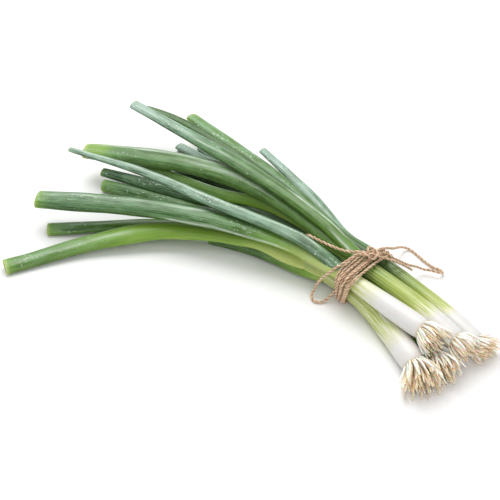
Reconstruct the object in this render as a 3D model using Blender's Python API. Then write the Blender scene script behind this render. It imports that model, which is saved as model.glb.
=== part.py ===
"""A bunch of five spring onions, tied with jute twine and lying down.

Lengths below are in millimetres, measured from the tie: +X runs along the shanks to the roots, +Y away from the
near side, +Z up, with zero on the table under the tie. The finished part is in metres, with its origin at the
bottom centre of the bunch.
"""

import math

import bmesh
import bpy
import numpy as np

# ---------------------------------------------------------------- driving dimensions, in millimetres
MM = 0.001
TIE = (67.9, 47.5)  # where the tie stands, from the bottom centre of the bunch
LINE_PARTS = 24  # a smooth line is drawn in this many parts between two of its points
LEAF_MARGIN = 1.1  # left between two leaves when they are pushed apart, before they are cut into facets
LEAF_FLATNESS = 0.5  # a leaf's thickness over its width
LEAF_WALL = 0.7
LEAF_SIDES = 10
LEAF_STEP = 19.0  # between two rings of a leaf
SETTLE_STEP = 5.0  # between two stations while the leaves settle
SETTLE_ROUNDS = 260
SETTLE_PUSH = (0.2, 0.2, 0.5)  # the share of an overlap that each leaf gives way by, a round: more up than aside
DEEPEST_PRESS = 0.15  # two stations never count as nearer than this share of the room they need
BESIDE = 0.7 * SETTLE_STEP  # stations further apart than this along their leaves aren't beside each other
SMOOTHINGS = 3  # how often a round's moves are spread along their leaf
NECKS_END = -10.0  # beyond here only the near onion's sheath runs among the leaves
SHANK_SIDES = 12
RESTS_WITHIN = 0.7  # a ring this close to the table lies on it, so the bulb has a flat facet there
AXIS_STEP = 1.0  # between two points when a shank's axis is measured
SHEATH_STEP = 15.0  # between two rings of the sheath
SHEATH_FROM = 62.0  # the distance from the root plate at which the bulb has narrowed to the sheath
ROOT_GAP = 0.9  # between a root plate and its tuft
ROOT_COLLAR = 0.5  # a tuft's radius where it leaves the root plate, over its bulb's
TUFT_SHAPE = ((0, 1), (0.3, 1.05), (0.65, 1.05), (0.9, 1), (1, 0.86))  # share of its length, and of its radius
BULB_SHAPE = ((0, 0.66), (1.6, 0.84), (4, 0.95), (9, 1), (18, 1), (28, 0.96), (44, 0.88))
TWINE = 2.2  # diameter
BAND_WIDTH = 13.0
BAND_FOOT = -3.5  # the middle of the band's foot
BAND_LEAN = 7.0  # how far the band's top stands nearer the roots than its foot
BAND_TOP = 32.0
BAND_CLEAR = 0.8  # between the shanks and the band
BAND_SIDES = 32
CORD_STEP = 2.6  # between two points of a twine tube, in its diameters

# Each onion: the axis of its shank from the neck, where the leaves part, through the tie to the root plate, the
# radius of the shank at the tie and of the bulb, and the middle and the radius of its roots' cut ends.
ONIONS = {
    "near": {"axis": [(-50, -14, 8.5), (-24, -11.5, 9.3), (0, -13, 9.3), (40, -22.5, 8.2), (73, -37.5, 7.9)],
             "shank": 6.2, "bulb": 7.9, "roots": (89, -52, 9.2), "spread": 9},
    "top": {"axis": [(-15, -14.5, 22), (0, -15.5, 22), (36, -19, 23), (68, -21, 22.4)],
            "shank": 5.8, "bulb": 7.4, "roots": (83, -27, 25), "spread": 7.2},
    "middle": {"axis": [(-15, 1.5, 22.2), (0, 0.4, 22.2), (44, -4.2, 21.9), (85, -8.6, 15.2)],
               "shank": 6.6, "bulb": 7.7, "roots": (98, -11, 13), "spread": 7.4},
    "far": {"axis": [(-15, 16, 14.5), (0, 17.2, 15), (46, 14.2, 11), (92, 6.5, 7.5)],
            "shank": 6.3, "bulb": 7.5, "roots": (108.7, 5, 8), "spread": 7.8},
    "low": {"axis": [(-15, 0.8, 9.1), (0, 0.6, 9.1), (42, -8.5, 7.4), (79.5, -23, 7.2)],
            "shank": 5.7, "bulb": 7.2, "roots": (96, -33.5, 8), "spread": 7.8},
}

# Each leaf: the points that its centre line passes, from its neck to its cut tip, and half its width at the
# neck, half way along and at the tip.
LEAVES = {
    "near_leaf_under": {"line": [(-52, -17, 5), (-73, -22, 5), (-90, -27, 4), (-113, -36, 4)],
                        "half": (4.5, 4.6, 4)},
    "near_leaf_inner": {"line": [(-52, -11, 10), (-90, -24, 9), (-140, -50, 8), (-172, -76, 5.5), (-208, -110.5, 2.9)],
                        "half": (4.5, 5.6, 5.6)},
    "near_leaf_curved": {"line": [(-52, -17, 14), (-86, -31, 13), (-114, -45, 12), (-139, -63, 11),
                                  (-158, -86, 8.5), (-175, -111, 5.6), (-197, -158, 3.1)],
                         "half": (4.5, 7.8, 6)},
    "top_leaf_broad": {"line": [(-17, -14.5, 21.5), (-55, -22, 26), (-109, -40, 27), (-162, -67, 25),
                                (-221, -106, 22)],
                       "half": (4.8, 8.8, 9.2)},
    "top_leaf_narrow": {"line": [(-17, -13, 27.5), (-54, -19, 33.5), (-110, -32, 36), (-172, -44, 38),
                                 (-234, -63, 38)],
                        "half": (5.4, 4.9, 2.2)},
    "middle_leaf_folded": {"line": [(-17, -1, 18), (-54, 7, 20), (-98, 5, 20), (-135, -9, 19), (-182, -19, 18),
                                 (-214, -23, 17)],
                        "half": (4, 6.5, 5)},
    "middle_leaf_high": {"line": [(-17, 4, 28), (-50, 7, 33), (-90, 10, 36), (-144, 11, 38), (-241, 9, 40)],
                         "half": (5, 6.2, 4.6)},
    "far_leaf_behind": {"line": [(-17, 13.5, 20), (-60, 19, 23), (-120, 26, 27), (-200, 28, 30), (-238, 19, 32)],
                           "half": (4, 4.2, 3.6)},
    "middle_leaf_wide": {"line": [(-17, 0.5, 22.5), (-50, 5, 26.5), (-94, 9, 28), (-127, 6, 28), (-160, -3, 27),
                                  (-200, -21, 25), (-241, -43, 22)],
                         "half": (5, 9.6, 9)},
    "far_leaf_pale": {"line": [(-17, 16, 18), (-66, 25, 20), (-121, 36, 21), (-214, 46, 22)],
                      "half": (4.5, 6, 5.4)},
    "far_leaf_short": {"line": [(-17, 20, 12), (-52, 32, 13), (-88, 45, 13), (-149, 61, 13)],
                       "half": (4.2, 5.4, 4.6)},
    "far_leaf_stub": {"line": [(-17, 14, 6), (-76, 25, 5), (-142, 34, 2.6), (-198.5, 39.7, 1.75)],
                      "half": (3.6, 4, 3.4)},
    "low_leaf_dark": {"line": [(-17, 1, 15), (-51, 7.5, 14), (-82, 6, 13), (-114, -2, 12.5), (-150, -17, 12),
                               (-222, -44, 12)], "half": (4, 4.8, 4)},
    "low_leaf_under": {"line": [(-17, 2, 7), (-60, -3, 6), (-120, -18, 4.5), (-170, -32, 3.5), (-216, -49, 2.4)],
                       "half": (4, 5, 4.4)},
    "low_leaf_back": {"line": [(-17, 8, 11), (-74, 16, 9), (-142, 29, 5.5), (-211.5, 28.7, 2.5)],
                      "half": (4, 5, 4.8)},
}

# The twine's knot: its centre and its radii.
KNOT = (4.5, 2, 36), (6, 6.5, 3.6)

# The twine's free runs, each from the knot.
TWINE_RUNS = {
    "tail_left": [(-3, -0.5, 34.5), (-8, -4, 33.5), (-15, -6, 32.5), (-22, -7.8, 32.8), (-30, -10, 34),
                  (-39, -12, 35.2)],
    "tail_right": [(11.5, 4, 35.5), (14.5, 8.5, 32.5), (17.5, 13.5, 28.5), (20, 18.5, 24), (21.5, 23.5, 19),
                   (22, 28, 14)],
    "bow_loop_left": [(-1.5, -5.5, 36.5), (-3.5, -12.5, 34.5), (-7, -18, 30.5), (-11, -22.6, 25), (-15, -24, 19),
                      (-18.5, -25, 12), (-20.5, -26, 5), (-20.5, -28.5, 1.6), (-17, -31.5, 1.3),
                      (-13, -31.5, 1.3), (-11.5, -28.5, 1.4), (-11.5, -25, 2.2), (-12, -21.5, 4.4)],
    "bow_loop_right": [(7.5, 8.7, 37.5), (7.5, 15, 34), (5.5, 23.5, 27), (2, 34, 18), (-1.5, 45, 9.5),
                       (-2.5, 53, 3.6), (1, 56.5, 1.4), (8, 55.5, 1.4), (16, 53.5, 1.4), (24, 52.5, 1.4),
                       (30.5, 53.5, 1.4), (33.5, 51, 2.6), (32, 47.5, 4.4), (27, 45.6, 4.6), (22.5, 43, 4.6),
                       (19.5, 38, 8.5), (18.5, 30.5, 14.5), (16.5, 21.5, 22.5), (13, 15.5, 28.5),
                       (9.5, 12.4, 32.6)],
}

# ---------------------------------------------------------------- colours: base colour, roughness
FINISHES = {
    "white_shank": ((0.80, 0.83, 0.66), 0.35),
    "root_hair": ((0.86, 0.74, 0.55), 0.8),
    "leaf_green": ((0.10, 0.27, 0.10), 0.42),
    "twine_jute": ((0.55, 0.36, 0.22), 0.9),
}


def clear_scene():
    for thing in list(bpy.data.objects):
        bpy.data.objects.remove(thing)


def finish(name):
    """The material of this name, made when it is first asked for."""
    if name in bpy.data.materials:
        return bpy.data.materials[name]
    colour, roughness = FINISHES[name]
    material = bpy.data.materials.new(name)
    material.use_nodes = True
    shader = material.node_tree.nodes["Principled BSDF"]
    shader.inputs["Base Color"].default_value = (*colour, 1)
    shader.inputs["Roughness"].default_value = roughness
    shader.inputs["Metallic"].default_value = 0
    return material


def smooth_line(points, step):
    """Points about `step` apart on the smooth curve through `points`."""
    points = np.array(points, float)
    padded = np.vstack([2 * points[0] - points[1], points, 2 * points[-1] - points[-2]])
    fine = []
    for before, start, end, after in zip(padded, padded[1:], padded[2:], padded[3:]):
        for t in np.linspace(0, 1, LINE_PARTS, endpoint=False):
            fine.append(0.5 * (2 * start + (end - before) * t + (2 * before - 5 * start + 4 * end - after) * t**2
                               + (3 * start - before - 3 * end + after) * t**3))
    fine.append(points[-1])
    return evenly(np.array(fine), step)


def evenly(line, step):
    """The same line with its points about `step` apart."""
    along = np.concatenate([[0], np.cumsum(np.linalg.norm(np.diff(line, axis=0), axis=1))])
    count = max(2, round(along[-1] / step) + 1)
    wanted = np.linspace(0, along[-1], count)
    return np.column_stack([np.interp(wanted, along, line[:, k]) for k in range(line.shape[1])])


def leaf_strand(leaf):
    """A leaf as rows of x, y, z, half width and half thickness."""
    line = smooth_line(leaf["line"], SETTLE_STEP)
    half = np.interp(np.linspace(0, 1, len(line)), (0, 0.5, 1), leaf["half"])
    return np.column_stack([line, half, half * LEAF_FLATNESS])


def settle(strands, still):
    """Pushes the strands apart where they press into each other, as leaves in a bunch do, and off the table.

    A strand is rows of x, y, z, half width and half thickness. Those in `still` push but don't move.
    """
    rows = np.vstack([*strands, *still])
    owner = np.concatenate([np.full(len(s), i) for i, s in enumerate([*strands, *still])])
    moving = owner < len(strands)
    start = rows[:, :3].copy()
    heading = np.zeros((len(rows), 2))
    for i in range(owner.max() + 1):
        mine = owner == i
        along = np.gradient(rows[mine, :2], axis=0)
        heading[mine] = along / np.linalg.norm(along, axis=1, keepdims=True)
    wide = rows[:, None, 3] + rows[None, :, 3] + LEAF_MARGIN
    thick = rows[:, None, 4] + rows[None, :, 4] + LEAF_MARGIN
    shared = heading[:, None] + heading[None]
    shared /= np.linalg.norm(shared, axis=2, keepdims=True) + 1e-9
    other = owner[:, None] != owner[None]
    for _ in range(SETTLE_ROUNDS):
        offset = rows[:, None, :3] - rows[None, :, :3]
        lengthwise = (offset[..., :2] * shared).sum(axis=2)
        offset[..., :2] -= lengthwise[..., None] * shared
        reach = np.sqrt((offset[..., 0] ** 2 + offset[..., 1] ** 2) / wide**2 + (offset[..., 2] / thick) ** 2)
        pressed = other & (reach < 1) & (abs(lengthwise) < BESIDE)
        share = np.where(pressed, 1 / np.maximum(reach, DEEPEST_PRESS) - 1, 0)
        push = offset * share[..., None] * SETTLE_PUSH
        hits = np.maximum(pressed.sum(axis=1), 1)[:, None]
        rows[moving, :3] += (push.sum(axis=1) / hits)[moving]
        for i in range(len(strands)):
            mine = np.flatnonzero(owner == i)
            moved = rows[mine, :3] - start[mine]
            for _ in range(SMOOTHINGS):
                moved[1:-1] = 0.5 * moved[1:-1] + 0.25 * (moved[:-2] + moved[2:])
            rows[mine, :3] = start[mine] + moved
        low = moving & (rows[:, 2] < rows[:, 4])
        rows[low, 2] = rows[low, 4]
    return [rows[owner == i] for i in range(len(strands))]


def make_tube(name, line, radii, profile, material, caps):
    """A curve object swept along `line` (mm), with a radius (mm) at each point and its profile's X level."""
    data = bpy.data.curves.new(name, "CURVE")
    data.dimensions = "3D"
    data.twist_mode = "Z_UP"
    if profile is None:
        data.bevel_depth = MM
        data.bevel_resolution = 2
    else:
        data.bevel_mode = "OBJECT"
        data.bevel_object = profile
    data.use_fill_caps = caps
    spline = data.splines.new("POLY")
    spline.points.add(len(line) - 1)
    for point, place, radius in zip(spline.points, line, radii):
        point.co = ((place[0] + TIE[0]) * MM, (place[1] + TIE[1]) * MM, place[2] * MM, 1)
        point.radius = radius
    data.materials.append(finish(material))
    tube = bpy.data.objects.new(name, data)
    bpy.context.collection.objects.link(tube)
    return tube


def make_profile(name, sides, flatness):
    """A closed outline 1 mm in half width, with a flat facet at its top and its foot, to sweep along a curve."""
    data = bpy.data.curves.new(name, "CURVE")
    data.dimensions = "2D"
    spline = data.splines.new("POLY")
    spline.points.add(sides - 1)
    spline.use_cyclic_u = True
    first = math.pi / 2 + math.pi / sides
    foot = math.cos(math.pi / sides)
    for k, point in enumerate(spline.points):
        turn = first - 2 * math.pi * k / sides
        point.co = (math.cos(turn) * MM, math.sin(turn) / foot * flatness * MM, 0, 1)
    profile = bpy.data.objects.new(name, data)
    profile.hide_render = True
    profile.display_type = "WIRE"
    bpy.context.collection.objects.link(profile)
    return profile


def along_axis(onion):
    """The shank's axis as close points, and how far each of them is from the root plate."""
    line = smooth_line(onion["axis"], AXIS_STEP)
    length = np.concatenate([[0], np.cumsum(np.linalg.norm(np.diff(line, axis=0), axis=1))])
    return line, length[-1] - length


def make_shank(name, onion, profile):
    """Root plate, bulb and sheath, up to the neck where the leaves part."""
    line, from_plate = along_axis(onion)
    marks = [mark for mark, _ in BULB_SHAPE] + [SHEATH_FROM]
    widths = [width * onion["bulb"] for _, width in BULB_SHAPE] + [onion["shank"]]
    sheath = np.arange(SHEATH_FROM + SHEATH_STEP, from_plate[0] - SHEATH_STEP / 2, SHEATH_STEP)
    stations = np.array([*marks, *sheath, from_plate[0]])
    radii = np.interp(stations, marks, widths)
    places = np.column_stack([np.interp(stations, from_plate[::-1], line[::-1, k]) for k in range(3)])
    on_table = places[:, 2] < radii + RESTS_WITHIN
    places[on_table, 2] = radii[on_table]
    make_tube(f"{name}_shank", places, radii, profile, "white_shank", True)


def make_roots(name, onion, profile):
    """The root tuft as one solid: narrow under the root plate, then wider to its cut ends."""
    line, _ = along_axis(onion)
    plate, ends = line[-1], np.array(onion["roots"], float)
    straight_on = (plate - line[-8]) / np.linalg.norm(plate - line[-8])
    start = plate + straight_on * ROOT_GAP
    bend = plate + straight_on * np.linalg.norm(ends - plate) / 2
    shares = np.array([share for share, _ in TUFT_SHAPE])[:, None]
    places = (1 - shares) ** 2 * start + 2 * shares * (1 - shares) * bend + shares**2 * ends
    radii = np.interp(shares[:, 0], (0, 1), (ROOT_COLLAR * onion["bulb"], onion["spread"]))
    radii *= [width for _, width in TUFT_SHAPE]
    places[:, 2] = np.maximum(places[:, 2], radii)
    make_tube(f"{name}_roots", places, radii, profile, "root_hair", True)


def make_leaf(name, strand, profile):
    rows = evenly(strand[:, :4], LEAF_STEP)
    leaf = make_tube(name, rows[:, :3], rows[:, 3], profile, "leaf_green", False)
    wall = leaf.modifiers.new("Wall", "SOLIDIFY")
    wall.thickness = LEAF_WALL * MM
    wall.offset = -1
    wall.use_even_offset = True
    return leaf


def band_outline(x_foot, clear):
    """Where a string lies that is pulled round the shanks, kept `clear` of them.

    The string's plane leans towards the roots, from x_foot on the table to BAND_LEAN further at BAND_TOP.
    """
    rounds = []
    for onion in ONIONS.values():
        line, _ = along_axis(onion)
        nearest = np.argmin(abs(line[:, 0] - x_foot - BAND_LEAN * line[:, 2] / BAND_TOP))
        rounds.append((*line[nearest, 1:], onion["shank"]))
    outline = []
    for k in range(BAND_SIDES):
        turn = 2 * math.pi * k / BAND_SIDES
        facing = np.array((math.cos(turn), math.sin(turn)))
        y, z, radius = max(rounds, key=lambda each: facing @ each[:2] + each[2])
        y, z = np.array((y, z)) + (radius + clear) * facing
        outline.append((x_foot + BAND_LEAN * z / BAND_TOP, y, z))
    return outline


def make_band():
    """The twine's windings as one closed band of their outer shape."""
    low, high = BAND_FOOT - BAND_WIDTH / 2, BAND_FOOT + BAND_WIDTH / 2
    rings = [band_outline(low, BAND_CLEAR), band_outline(low, BAND_CLEAR + TWINE),
             band_outline(high, BAND_CLEAR + TWINE), band_outline(high, BAND_CLEAR)]
    points = [((x + TIE[0]) * MM, (y + TIE[1]) * MM, z * MM) for ring in rings for x, y, z in ring]
    faces = []
    for ring in range(4):
        for k in range(BAND_SIDES):
            here, there = ring * BAND_SIDES, (ring + 1) % 4 * BAND_SIDES
            after = (k + 1) % BAND_SIDES
            faces.append((here + k, here + after, there + after, there + k))
    mesh = bpy.data.meshes.new("twine_windings")
    mesh.from_pydata(points, [], faces)
    mesh.materials.append(finish("twine_jute"))
    band = bpy.data.objects.new("twine_windings", mesh)
    bpy.context.collection.objects.link(band)


def make_knot():
    (x, y, z), radii = KNOT
    mesh = bpy.data.meshes.new("twine_knot")
    shape = bmesh.new()
    bmesh.ops.create_uvsphere(shape, u_segments=12, v_segments=8, radius=MM)
    bmesh.ops.scale(shape, vec=radii, verts=shape.verts)
    shape.to_mesh(mesh)
    shape.free()
    mesh.materials.append(finish("twine_jute"))
    knot = bpy.data.objects.new("twine_knot", mesh)
    mesh.shade_smooth()
    knot.location = ((x + TIE[0]) * MM, (y + TIE[1]) * MM, z * MM)
    bpy.context.collection.objects.link(knot)


def main():
    clear_scene()
    round_profile = make_profile("round_profile", SHANK_SIDES, 1)
    leaf_profile = make_profile("leaf_profile", LEAF_SIDES, LEAF_FLATNESS)
    for name, onion in ONIONS.items():
        make_shank(name, onion, round_profile)
        make_roots(name, onion, round_profile)
    strands = [leaf_strand(leaf) for leaf in LEAVES.values()]
    sheath = smooth_line(ONIONS["near"]["axis"], SETTLE_STEP)
    sheath = sheath[sheath[:, 0] < NECKS_END]
    still = np.column_stack([sheath, np.full((len(sheath), 2), ONIONS["near"]["shank"])])
    for name, strand in zip(LEAVES, settle(strands, [still])):
        make_leaf(name, strand, leaf_profile)
    make_band()
    make_knot()
    for name, route in TWINE_RUNS.items():
        line = smooth_line(route, CORD_STEP * TWINE)
        make_tube(name, line, np.full(len(line), TWINE / 2), None, "twine_jute", True)


main()
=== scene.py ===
# %% [markdown]
# # A bunch of spring onions, tied with jute twine
#
# Five onions lie on a table. Each has a white bulb with trimmed roots, a sheath that turns from white to
# green, and long hollow leaves with cut tips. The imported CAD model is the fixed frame: every piece below is
# measured from it, built as a fine surface in the same place, and stands for its CAD node.

# %% Load the frame
import math
import random

import bpy
import numpy as np
from mathutils import Matrix, Vector


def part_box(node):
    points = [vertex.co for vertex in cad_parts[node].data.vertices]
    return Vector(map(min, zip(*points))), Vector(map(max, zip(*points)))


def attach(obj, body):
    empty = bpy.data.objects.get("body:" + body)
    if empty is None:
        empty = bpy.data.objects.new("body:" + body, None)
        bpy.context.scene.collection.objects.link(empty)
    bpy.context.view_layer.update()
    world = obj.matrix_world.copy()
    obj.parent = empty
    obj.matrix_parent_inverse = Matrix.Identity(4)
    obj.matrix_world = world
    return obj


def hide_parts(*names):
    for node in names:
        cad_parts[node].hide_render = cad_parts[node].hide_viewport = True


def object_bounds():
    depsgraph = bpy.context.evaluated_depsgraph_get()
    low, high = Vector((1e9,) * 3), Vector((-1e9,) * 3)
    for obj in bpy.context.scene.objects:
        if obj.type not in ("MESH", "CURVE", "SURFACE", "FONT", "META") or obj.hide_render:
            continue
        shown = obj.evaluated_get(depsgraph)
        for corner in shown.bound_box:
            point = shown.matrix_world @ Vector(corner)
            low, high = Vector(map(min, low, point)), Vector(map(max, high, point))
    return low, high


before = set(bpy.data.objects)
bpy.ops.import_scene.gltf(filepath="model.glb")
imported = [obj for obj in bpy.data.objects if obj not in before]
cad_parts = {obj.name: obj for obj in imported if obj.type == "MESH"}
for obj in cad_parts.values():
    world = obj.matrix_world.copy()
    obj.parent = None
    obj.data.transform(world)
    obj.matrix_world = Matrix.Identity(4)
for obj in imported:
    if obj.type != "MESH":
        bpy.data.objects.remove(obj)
cad_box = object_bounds()
MM = 0.001
print("CAD box in mm:", [[round(v / MM, 1) for v in corner] for corner in cad_box])

# %% [markdown]
# ## The camera
#
# It looks down on the bunch from the root end's near side, so that the bulbs are close and the leaves run
# away to the left. A long lens keeps the proportions calm.

# %% Camera
AZIMUTH, ELEVATION = math.radians(43), math.radians(42)
DISTANCE = 0.75
LOOK_AT = Vector((-0.0169, 0.0253, 0))
FIELD_WIDTH = 0.365  # what the frame takes in at that distance


def placed(name, data):
    """A new object with this data, in the scene."""
    made = bpy.data.objects.new(name, data)
    bpy.context.scene.collection.objects.link(made)
    return made


back = Vector((math.sin(AZIMUTH) * math.cos(ELEVATION), -math.cos(AZIMUTH) * math.cos(ELEVATION),
               math.sin(ELEVATION)))
camera_data = bpy.data.cameras.new("camera")
camera_data.sensor_width = 36
camera_data.lens = camera_data.sensor_width * DISTANCE / FIELD_WIDTH
camera = placed("camera", camera_data)
camera.location = LOOK_AT + back * DISTANCE
camera.rotation_euler = (-back).to_track_quat("-Z", "Y").to_euler()
bpy.context.scene.camera = camera
print("camera at", [round(v, 3) for v in camera.location])

# %% [markdown]
# ## Lines to build along
#
# Almost everything here is long and bent: twine, sheaths, leaves and roots. So the first helpers draw a
# smooth line through a few points and set points evenly along it.

# %% Smooth lines
LINE_PARTS = 24  # parts drawn between two points of a route


def distances(line):
    """How far along the line each of its points lies."""
    return np.concatenate([[0], np.cumsum(np.linalg.norm(np.diff(line[:, :3], axis=0), axis=1))])


def evenly(line, step):
    """The same line with its points about `step` apart."""
    line = np.asarray(line, float)
    along = distances(line)
    wanted = np.linspace(0, along[-1], max(2, round(along[-1] / step) + 1))
    return np.column_stack([np.interp(wanted, along, line[:, k]) for k in range(line.shape[1])])


def smooth_line(points, step):
    """Points about `step` apart on the smooth curve through `points`."""
    points = np.asarray(points, float)
    padded = np.vstack([2 * points[0] - points[1], points, 2 * points[-1] - points[-2]])
    fine = []
    for before, start, end, after in zip(padded, padded[1:], padded[2:], padded[3:]):
        slope = end - before
        bow = 2 * before - 5 * start + 4 * end - after
        rest = 3 * start - before - 3 * end + after
        for t in np.linspace(0, 1, LINE_PARTS, endpoint=False):
            fine.append(0.5 * (2 * start + slope * t + bow * t**2 + rest * t**3))
    fine.append(points[-1])
    return evenly(fine, step)


def ease(values, passes):
    """Draws each inner value towards the middle of its two neighbours, again and again."""
    for _ in range(passes):
        values[1:-1] = 0.5 * values[1:-1] + 0.25 * (values[:-2] + values[2:])


def length_of(line):
    return float(np.linalg.norm(np.diff(np.asarray(line)[:, :3], axis=0), axis=1).sum())


def unit(vector):
    return vector / np.linalg.norm(vector)


def read_off(rows, at):
    """The value at `at`, between rows of place and value."""
    return np.interp(at, *zip(*rows))


# %% Selecting and finishing
def only(piece):
    """Makes `piece` the only selected object and the active one."""
    bpy.ops.object.select_all(action="DESELECT")
    piece.select_set(True)
    bpy.context.view_layer.objects.active = piece


def apply_all(piece):
    only(piece)
    for modifier in list(piece.modifiers):
        bpy.ops.object.modifier_apply(modifier=modifier.name)


def make_finer(piece):
    finer = piece.modifiers.new("Finer", "SUBSURF")
    finer.levels = finer.render_levels = 1


def edit_all():
    """Opens the active piece for editing with everything on it selected."""
    bpy.ops.object.mode_set(mode="EDIT")
    bpy.ops.mesh.select_all(action="SELECT")


def finish_edit():
    """Turns every face of the edited piece outwards and leaves edit mode."""
    bpy.ops.mesh.select_all(action="SELECT")
    bpy.ops.mesh.normals_make_consistent(inside=False)
    bpy.ops.object.mode_set(mode="OBJECT")


def joined(copies, name):
    """Joins the copies into one piece of this name."""
    bpy.ops.object.select_all(action="DESELECT")
    for copy in copies:
        copy.select_set(True)
    bpy.context.view_layer.objects.active = copies[0]
    bpy.ops.object.join()
    piece = bpy.context.view_layer.objects.active
    piece.name = piece.data.name = name
    return piece


def store(piece, name, values):
    """Paints a number on each corner of the mesh."""
    layer = piece.data.attributes.new(name, "FLOAT", "POINT")
    layer.data.foreach_set("value", np.asarray(values, np.float32))


def store_places(piece, places):
    """Keeps a place for each corner, in metres, for the finish's streaks to run along."""
    layer = piece.data.attributes.new("straight", "FLOAT_VECTOR", "POINT")
    layer.data.foreach_set("vector", np.asarray(places, np.float32).ravel())


def places_of(piece):
    places = np.empty(len(piece.data.vertices) * 3, np.float32)
    piece.data.vertices.foreach_get("co", places)
    return places.reshape(-1, 3)


def stands_for(piece, slot, *nodes):
    """The piece rides on the one body, and stands for these CAD nodes."""
    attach(piece, "root")
    if nodes:
        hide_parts(*nodes)
    return piece


# %% [markdown]
# ## Shader maths as Python
#
# A finish mixes many masks. Written with plain operators, the masks read like a sentence, so this small class
# wraps a socket: an expression on it adds the Math nodes that it needs.

# %% Sockets that can be added and multiplied
class Wire:
    """A value in a material's node tree."""

    def __init__(self, tree, socket):
        self.tree = tree
        self.socket = socket

    def node(self, kind, settings=(), **inputs):
        """Adds a node of this kind: settings first, then its sockets, named by position as i0=, i1=."""
        made = self.tree.nodes.new(kind)
        for name, value in dict(settings).items():
            if name == "stops":
                ramp = made.color_ramp
                while len(ramp.elements) < len(value):
                    ramp.elements.new(0.5)
                for element, (place, colour) in zip(ramp.elements, value):
                    element.position = place
                    element.color = (*colour, 1)
            else:
                setattr(made, name, value)
        for name, value in inputs.items():
            socket = made.inputs[int(name[1:])]
            if isinstance(value, Wire):
                self.tree.links.new(value.socket, socket)
            else:
                socket.default_value = value
        return made

    def out(self, kind, settings=(), output=0, **inputs):
        return Wire(self.tree, self.node(kind, settings, **inputs).outputs[output])

    def math(self, operation, *values, clamp=False):
        inputs = {f"i{k}": value for k, value in enumerate(values)}
        return self.out("ShaderNodeMath", {"operation": operation, "use_clamp": clamp}, **inputs)

    def __add__(self, other):
        return self.math("ADD", self, other)

    def __sub__(self, other):
        return self.math("SUBTRACT", self, other)

    def __mul__(self, other):
        return self.math("MULTIPLY", self, other)

    def __rsub__(self, other):
        return self.math("SUBTRACT", other, self)

    __radd__ = __add__
    __rmul__ = __mul__

    def clamped(self):
        return self.math("ADD", self, 0.0, clamp=True)

    def between(self, low, high):
        """0 below `low`, 1 above `high`, and smooth between them."""
        return self.out("ShaderNodeMapRange", {"interpolation_type": "SMOOTHSTEP"},
                        i0=self, i1=low, i2=high, i3=0.0, i4=1.0)


# %% Finishes
class Finish(Wire):
    """A material with a Principled shader, and the patterns that this object's finishes share."""

    def __init__(self, name, roughness, **constants):
        self.material = bpy.data.materials.new(name)
        self.material.use_nodes = True
        super().__init__(self.material.node_tree, None)
        self.shader = self.tree.nodes["Principled BSDF"]
        self.shader.inputs["Roughness"].default_value = roughness
        for socket, value in constants.items():
            self.shader.inputs[socket.replace("_", " ")].default_value = value

    def painted(self, name):
        """A number painted on the mesh."""
        return self.out("ShaderNodeAttribute", {"attribute_name": name}, output=2)

    def straight(self, stretch):
        """The place on the piece before it was bent, with each axis scaled."""
        place = self.out("ShaderNodeAttribute", {"attribute_name": "straight"}, output=1)
        return self.out("ShaderNodeVectorMath", {"operation": "MULTIPLY"}, i0=place, i1=stretch)

    def noise(self, place, scale, detail=2.0, roughness=0.5):
        return self.out("ShaderNodeTexNoise", i0=place, i2=scale, i3=detail, i4=roughness)

    def mixed(self, share, first, second):
        """A colour between `first` and `second`."""
        node = self.node("ShaderNodeMix", {"data_type": "RGBA"})
        for socket, value in ((node.inputs[0], share), (node.inputs[6], first), (node.inputs[7], second)):
            if isinstance(value, Wire):
                self.tree.links.new(value.socket, socket)
            else:
                socket.default_value = (*value, 1) if isinstance(value, tuple) else value
        return Wire(self.tree, node.outputs[2])

    def ramp(self, value, stops):
        return self.out("ShaderNodeValToRGB", {"stops": stops}, i0=value)

    def feed(self, socket, value):
        self.tree.links.new(value.socket, self.shader.inputs[socket])

    def bump(self, height, distance, strength=1.0):
        """Raises the surface by `height` times `distance` metres, for the light only."""
        node = self.node("ShaderNodeBump")
        node.inputs["Strength"].default_value = strength
        node.inputs["Distance"].default_value = distance
        self.tree.links.new(height.socket, node.inputs["Height"])
        self.tree.links.new(node.outputs[0], self.shader.inputs["Normal"])


# %% [markdown]
# ## The twine
#
# Jute twine is two loose yarns laid round each other. Seen from a hand's width away, the grooves between
# the yarns matter more than the fibres, so the twine is a real shape: a two-lobed outline swept along its
# route and turned as it goes. The routes are the ones that the CAD tubes follow, in millimetres from the
# tie. The left loop's last points carry it on to where it slips under the windings.

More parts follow.
